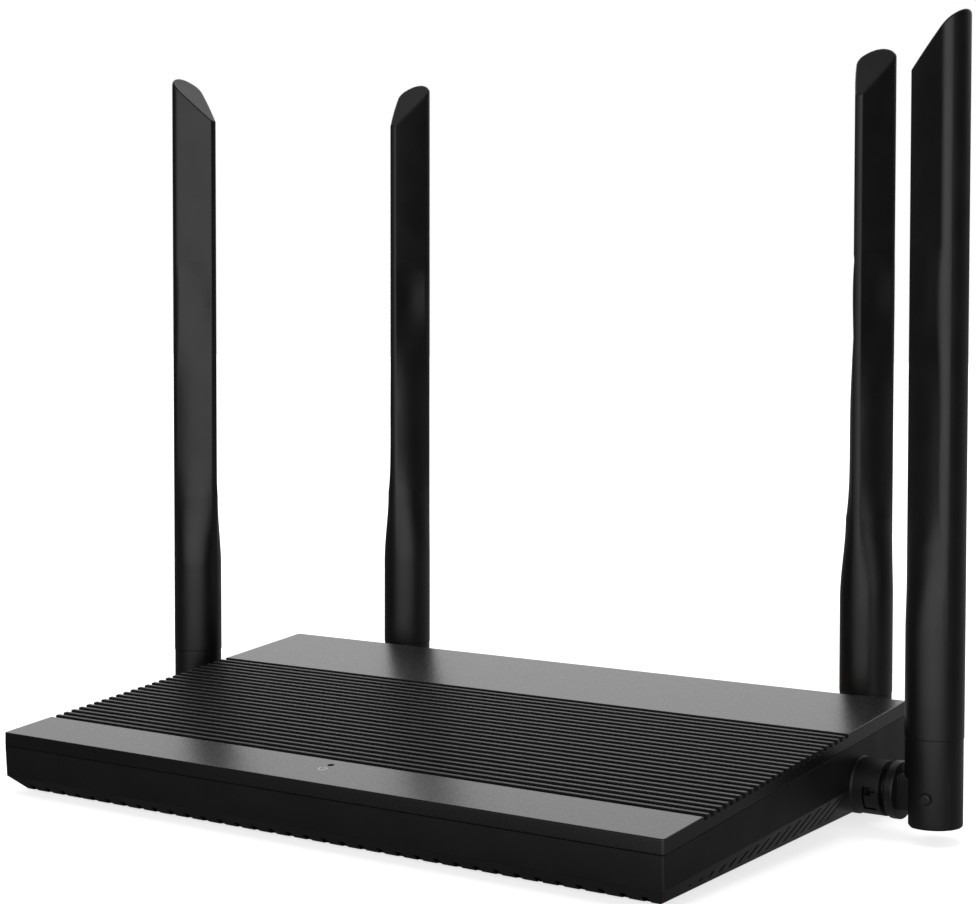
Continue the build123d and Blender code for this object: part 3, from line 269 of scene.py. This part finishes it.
def lid_plastic(name, colour, roughness):
    """The lid's satin plastic: a fine sparkling grain on top, matt in the grooves, which carry painted
    shade.
    """
    shader = Shader(name)
    rounded = shader.bevel(0.2 * MM, 6)
    edge = shader.edges(rounded)
    grit = shader.noise(0.34 * MM, 4.0, 0.75)
    pits = shader.cells(0.5 * MM, "SMOOTH_F1")
    broad = shader.noise(14 * MM, 2.0)
    facing_up = shader.spread(shader.split(shader.flat())["Z"], 0.22, 1.0, 0.3, 0.8)
    height = shader.math("ADD", grit, shader.math("MULTIPLY", pits, 0.4))
    height = shader.math("MULTIPLY", height, facing_up)
    ribbed, groove = ribbed_zone(shader)
    satin = shader.mix(broad, tone(colour, 0.92), tone(colour, 1.08))
    # Painted shade: the grooves between the ribs are coloured darker than the rib tops.
    painted_groove_shade = shader.mix(groove, satin, tone(colour, 0.3))
    rubbed = shader.mix(shader.math("MULTIPLY", edge, 0.1), painted_groove_shade, tone(colour, 2.0))
    rough = shader.spread(grit, roughness - 0.07, roughness + 0.07, 0.3, 0.7)
    rough = shader.math("ADD", rough, shader.math("MULTIPLY", groove, 0.45))
    rough = shader.math("ADD", rough, shader.math("MULTIPLY", ribbed, 0.18))
    shader.feed(shader.bsdf, Base_Color=rubbed, Roughness=rough)
    shader.feed(shader.bsdf, Normal=shader.bump(height, 0.012 * MM, rounded))
    return shader.material


def metal(name, colour, roughness, brush=None):
    """Metal, with fine lines along one axis where brush gives its stretch."""
    shader = Shader(name)
    rounded = shader.bevel(0.1 * MM)
    place = shader.place
    if brush:
        mapping = shader.new("ShaderNodeMapping")
        shader.feed(mapping, Vector=shader.place, Scale=brush)
        place = mapping.outputs["Vector"]
    lines = shader.noise(0.15 * MM, 3.0, 0.6, place)
    broad = shader.noise(3 * MM, 3.0)
    stained = shader.mix(broad, tone(colour, 0.82), tone(colour, 1.1))
    rough = shader.spread(broad, roughness - 0.06, roughness + 0.08, 0.3, 0.7)
    scratched = shader.bump(lines, 0.002 * MM, rounded)
    shader.feed(shader.bsdf, Base_Color=stained, Roughness=rough, Normal=scratched)
    shader.bsdf.inputs["Metallic"].default_value = 1.0
    return shader.material


def laminate(name):
    """Green solder mask over copper tracks and pads."""
    shader = Shader(name)
    tracks = shader.new("ShaderNodeTexBrick")
    shader.feed(tracks, Vector=shader.place, Scale=260.0, Mortar_Size=0.08)
    copper = shader.spread(shader.cells(1.8 * MM, "DISTANCE_TO_EDGE"), 1.0, 0.0, 0.05, 0.12)
    lines = shader.math("MAXIMUM", copper, shader.math("MULTIPLY", tracks.outputs["Fac"], 0.5))
    mask = shader.mix(lines, (0.012, 0.085, 0.035, 1.0), (0.03, 0.17, 0.06, 1.0))
    weave = shader.noise(0.4 * MM)
    height = shader.math("ADD", lines, shader.math("MULTIPLY", weave, 0.2))
    shader.feed(shader.bsdf, Base_Color=mask, Roughness=shader.spread(weave, 0.22, 0.34))
    shader.feed(shader.bsdf, Normal=shader.bump(height, 0.02 * MM))
    return shader.material


def rubber(name):
    shader = Shader(name)
    rounded = shader.bevel(0.2 * MM)
    grit = shader.noise(0.5 * MM, 4.0, 0.7)
    colour = shader.mix(grit, (0.018, 0.018, 0.018, 1.0), (0.035, 0.034, 0.033, 1.0))
    shader.feed(shader.bsdf, Base_Color=colour, Roughness=shader.spread(grit, 0.7, 0.9))
    shader.feed(shader.bsdf, Normal=shader.bump(grit, 0.03 * MM, rounded))
    return shader.material


def smoked(name):
    """The unlit light pipe: smoked and glossy."""
    shader = Shader(name)
    cloud = shader.noise(0.6 * MM, 2.0)
    colour = shader.mix(cloud, (0.006, 0.006, 0.007, 1.0), (0.014, 0.014, 0.016, 1.0))
    shader.feed(shader.bsdf, Base_Color=colour, Roughness=shader.spread(cloud, 0.3, 0.42))
    return shader.material


def ink(name):
    shader = Shader(name)
    speckle = shader.noise(0.12 * MM, 3.0, 0.6)
    colour = shader.mix(speckle, (0.55, 0.56, 0.58, 1.0), (0.72, 0.73, 0.75, 1.0))
    shader.feed(shader.bsdf, Base_Color=colour, Roughness=shader.spread(speckle, 0.45, 0.6))
    shader.feed(shader.bsdf, Normal=shader.bump(speckle, 0.004 * MM))
    return shader.material


LOOKS = {
    "case_plastic": plastic(
        "moulded_case", SOOT, 0.46,
        grain=0.30, depth=0.010, rounding=0.18, specular=0.45, crevice_shade=1.0,
    ),
    "lid_plastic": lid_plastic("satin_lid", BLACK, 0.28),
    "antenna_plastic": plastic("satin_antenna", SOOT, 0.36, grain=0.26, depth=0.003, rounding=0.5),
    "swivel_plastic": plastic("moulded_swivel", SOOT, 0.38, grain=0.26, depth=0.005, rounding=0.25),
    "hinge_pin_plastic": plastic(
        "moulded_pin", (0.014, 0.014, 0.0145), 0.42,
        grain=0.2, depth=0.002, rounding=0.2,
    ),
    "foot_rubber": rubber("foot_rubber"),
    "screw_steel": metal("zinc_screws", (0.42, 0.42, 0.44), 0.34),
    "board_laminate": laminate("solder_mask"),
    "chip_plastic": plastic(
        "chip_epoxy", (0.018, 0.018, 0.018), 0.55,
        grain=0.12, depth=0.004, rounding=0.1,
    ),
    "sink_aluminium": metal("extruded_sink", (0.72, 0.73, 0.75), 0.36, (1.0, 0.05, 1.0)),
    "shield_steel": metal("tinned_shield", (0.55, 0.55, 0.53), 0.3, (0.08, 1.0, 1.0)),
    "capacitor_sleeve": plastic(
        "capacitor_sleeve", (0.02, 0.02, 0.04), 0.25,
        grain=0.4, depth=0.002, rounding=0.3,
    ),
    "lamp_plastic": plastic("lamp_epoxy", (0.7, 0.66, 0.42), 0.2, grain=0.3, depth=0.001, rounding=0.1),
    "clear_plastic": smoked("smoked_pipe"),
    "wan_plastic": plastic("wan_housing", (0.02, 0.07, 0.26), 0.34, grain=0.2, depth=0.003, rounding=0.15),
    "lan_plastic": plastic("lan_housing", (0.55, 0.33, 0.02), 0.34, grain=0.2, depth=0.003, rounding=0.15),
    "contact_brass": metal("gold_contacts", (0.86, 0.66, 0.28), 0.24),
    "plug_brass": metal("gold_plugs", (0.82, 0.64, 0.3), 0.28),
    "radiator_brass": metal("radiator_brass", (0.7, 0.48, 0.25), 0.32, (1.0, 1.0, 0.05)),
    "socket_plastic": plastic(
        "socket_housing", (0.014, 0.014, 0.014), 0.3,
        grain=0.2, depth=0.002, rounding=0.2,
    ),
    "pin_steel": metal("nickel_pin", (0.6, 0.59, 0.55), 0.2),
    "button_plastic": plastic(
        "button_cap", (0.03, 0.03, 0.031), 0.32,
        grain=0.2, depth=0.002, rounding=0.2,
    ),
    "lead_jacket": plastic("lead_jacket", (0.02, 0.02, 0.02), 0.3, grain=0.5, depth=0.004, rounding=0.1),
}

SLOT_OF = {part["node"]: part["material_slot"] for part in frame["record"]["subparts"]}
for name, node in nodes.items():
    for slot in node.material_slots:
        slot.material = LOOKS[SLOT_OF[name]]

# ------------------------------------------------------------------ pieces


def add_mesh(name, bm, material, body):
    mesh = bpy.data.meshes.new(name)
    bm.to_mesh(mesh)
    bm.free()
    mesh.materials.append(material)
    obj = bpy.data.objects.new(name, mesh)
    bpy.context.scene.collection.objects.link(obj)
    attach(obj, body)
    return obj


def prism(bm, outline, top, bottom):
    """A closed plate between two heights above the lid. Outline is (x, behind) points."""
    upper = [bm.verts.new(on_lid(x, y, top)) for x, y in outline]
    lower = [bm.verts.new(on_lid(x, y, bottom)) for x, y in outline]
    bm.faces.new(upper)
    bm.faces.new(reversed(lower))
    for i in range(len(outline)):
        j = (i + 1) % len(outline)
        bm.faces.new((upper[j], upper[i], lower[i], lower[j]))


def power_mark():
    """The power symbol printed on the front band: a ring with a gap, and a bar."""
    bm = bmesh.new()
    middle = 9.8 * MM
    outer = 1.2 * MM
    inner = 0.92 * MM
    gap = 38  # degrees, from the bar to each end of the ring
    steps = 44
    start = math.radians(90 + gap)
    sweep = math.radians(360 - 2 * gap)
    ring = []
    for radius, order in ((outer, range(steps + 1)), (inner, range(steps, -1, -1))):
        for i in order:
            angle = start + sweep * i / steps
            ring.append((radius * math.cos(angle), middle + radius * math.sin(angle)))
    top = 0.012 * MM
    bottom = -0.04 * MM
    last = len(ring) - 1
    for i in range(steps):
        prism(bm, (ring[i], ring[i + 1], ring[last - 1 - i], ring[last - i]), top, bottom)
    half = 0.14 * MM
    low = middle + 0.35 * MM
    high = middle + 1.45 * MM
    prism(bm, ((half, low), (half, high), (-half, high), (-half, low)), top, bottom)
    bmesh.ops.remove_doubles(bm, verts=bm.verts, dist=1e-7)
    bmesh.ops.recalc_face_normals(bm, faces=bm.faces)
    add_mesh("power_mark", bm, ink("white_ink"), "case")


power_mark()

# ------------------------------------------------------------------ floor, world and lamp

FRONT_GLOW = Vector((0.375, -0.927, 0.0))  # towards the soft panel in front
BACK_GLOW = Vector((-0.438, 0.899, 0.0))  # towards the bright backdrop
RIGHT_GLOW = Vector((0.85, 0.53, 0.0))  # towards the floor lit from the right
REAR_GLOW = Vector((0.1, 1.0, 0.0))  # towards the floor lit from behind

PANEL = 1.8  # brightness of the soft panel
BACKDROP = 1.82  # and of the backdrop
STUDIO_DIM = 0.04  # and of the studio around them
HORIZON = (0.07, 0.25)  # heights of the view between which the backdrop comes in

FLOOR_FILL = (0.72, 1.1)  # the floor's own light to the camera, near the router and far off
FAR = (0.25, 0.8)  # distances from the middle between which it changes
FLOOR_DIM = 0.065  # brightness of the floor in reflections, where no glow reaches
FLOOR_LIT = 1.3  # the same, in front
FLOOR_RIGHT = 0.13  # added near the router on the right
FLOOR_BACK = 0.21  # added behind
NEAR = (0.13, 0.22)  # distances between which the glows in front and behind come in
BESIDE = (0.2, 0.34)  # distances between which the right's glow goes out


def toward(shader, direction, start, end):
    """A soft glow, 0 to 1, where a direction comes near to the given one."""
    unit = shader.new("ShaderNodeVectorMath", operation="NORMALIZE")
    shader.put(unit.inputs[0], shader.place)
    return shader.smooth(shader.dot(unit.outputs["Vector"], direction), start, end)


def by_camera(shader, seen, reflected):
    """One surface for the camera, and another for reflections and light."""
    path = shader.new("ShaderNodeLightPath")
    pick = shader.new("ShaderNodeMixShader")
    sources = (path.outputs["Is Camera Ray"], reflected.outputs[0], seen.outputs[0])
    for socket, source in zip(pick.inputs, sources):
        shader.put(socket, source)
    return pick.outputs[0]


def floor_paint():
    """White with the router's shadow to the camera, and dim with soft glows in reflections."""
    shader = Shader("white_floor")
    shader.feed(shader.bsdf, Base_Color=(0.8, 0.8, 0.8, 1.0), Roughness=0.9)
    shader.bsdf.inputs["Specular IOR Level"].default_value = 0.0
    length = shader.new("ShaderNodeVectorMath", operation="LENGTH")
    shader.put(length.inputs[0], shader.place)
    distance = length.outputs["Value"]
    fill = shader.new("ShaderNodeEmission")
    shader.feed(fill, Strength=shader.spread(distance, *FLOOR_FILL, *FAR))
    seen = shader.new("ShaderNodeAddShader")
    shader.put(seen.inputs[0], shader.bsdf.outputs[0])
    shader.put(seen.inputs[1], fill.outputs[0])
    away = shader.spread(distance, 0.0, 1.0, *NEAR)
    beside = shader.spread(distance, 1.0, 0.0, *BESIDE)
    front = shader.math("MULTIPLY", toward(shader, FRONT_GLOW, 0.45, 1.0), away)
    right = shader.math("MULTIPLY", toward(shader, RIGHT_GLOW, 0.2, 1.0), beside)
    back = shader.math("MULTIPLY", toward(shader, REAR_GLOW, 0.25, 1.0), away)
    strength = shader.spread(front, FLOOR_DIM, FLOOR_LIT)
    strength = shader.math("ADD", strength, shader.math("MULTIPLY", right, FLOOR_RIGHT))
    strength = shader.math("ADD", strength, shader.math("MULTIPLY", back, FLOOR_BACK))
    dim = shader.new("ShaderNodeEmission")
    shader.feed(dim, Strength=strength)
    surface = shader.tree.nodes["Material Output"].inputs["Surface"]
    shader.put(surface, by_camera(shader, seen, dim))
    return shader.material


def add_floor():
    bm = bmesh.new()
    bmesh.ops.create_grid(bm, x_segments=1, y_segments=1, size=6.0)
    mesh = bpy.data.meshes.new("floor")
    bm.to_mesh(mesh)
    bm.free()
    mesh.materials.append(floor_paint())
    floor = bpy.data.objects.new("floor", mesh)
    bpy.context.scene.collection.objects.link(floor)


def add_world():
    """A dim studio with a soft panel in front and a bright backdrop behind, white to the camera."""
    shader = WorldShader("studio")
    panel = toward(shader, FRONT_GLOW, 0.42, 0.94)
    backdrop = toward(shader, BACK_GLOW, 0.23, 1.0)
    above = shader.smooth(shader.split(shader.place)["Z"], *HORIZON)
    backdrop = shader.math("MULTIPLY", backdrop, above)
    light = shader.math("MULTIPLY", panel, PANEL)
    light = shader.math("ADD", light, shader.math("MULTIPLY", backdrop, BACKDROP))
    light = shader.math("ADD", light, STUDIO_DIM)
    studio = shader.new("ShaderNodeBackground")
    shader.feed(studio, Strength=light)
    white = shader.new("ShaderNodeBackground")
    shader.feed(white, Color=(1.0, 1.0, 1.0, 1.0))
    output = shader.new("ShaderNodeOutputWorld")
    shader.feed(output, Surface=by_camera(shader, white, studio))
    bpy.context.scene.world = shader.material


def add_lamp(name, place, target, size, radiance):
    """A soft square lamp, left out of reflections, with the given brightness of its face."""
    data = bpy.data.lights.new(name, "AREA")
    data.size = size
    data.energy = radiance * math.pi * size * size * math.pi
    lamp = bpy.data.objects.new(name, data)
    bpy.context.scene.collection.objects.link(lamp)
    lamp.location = place
    aim = Vector(target) - Vector(place)
    lamp.rotation_euler = aim.to_track_quat("-Z", "Y").to_euler()
    lamp.visible_camera = False
    lamp.visible_glossy = False


add_floor()
add_world()
add_lamp("top_lamp", (-0.1, 0.15, 1.3), (0, 0, 0), 1.0, 0.9)
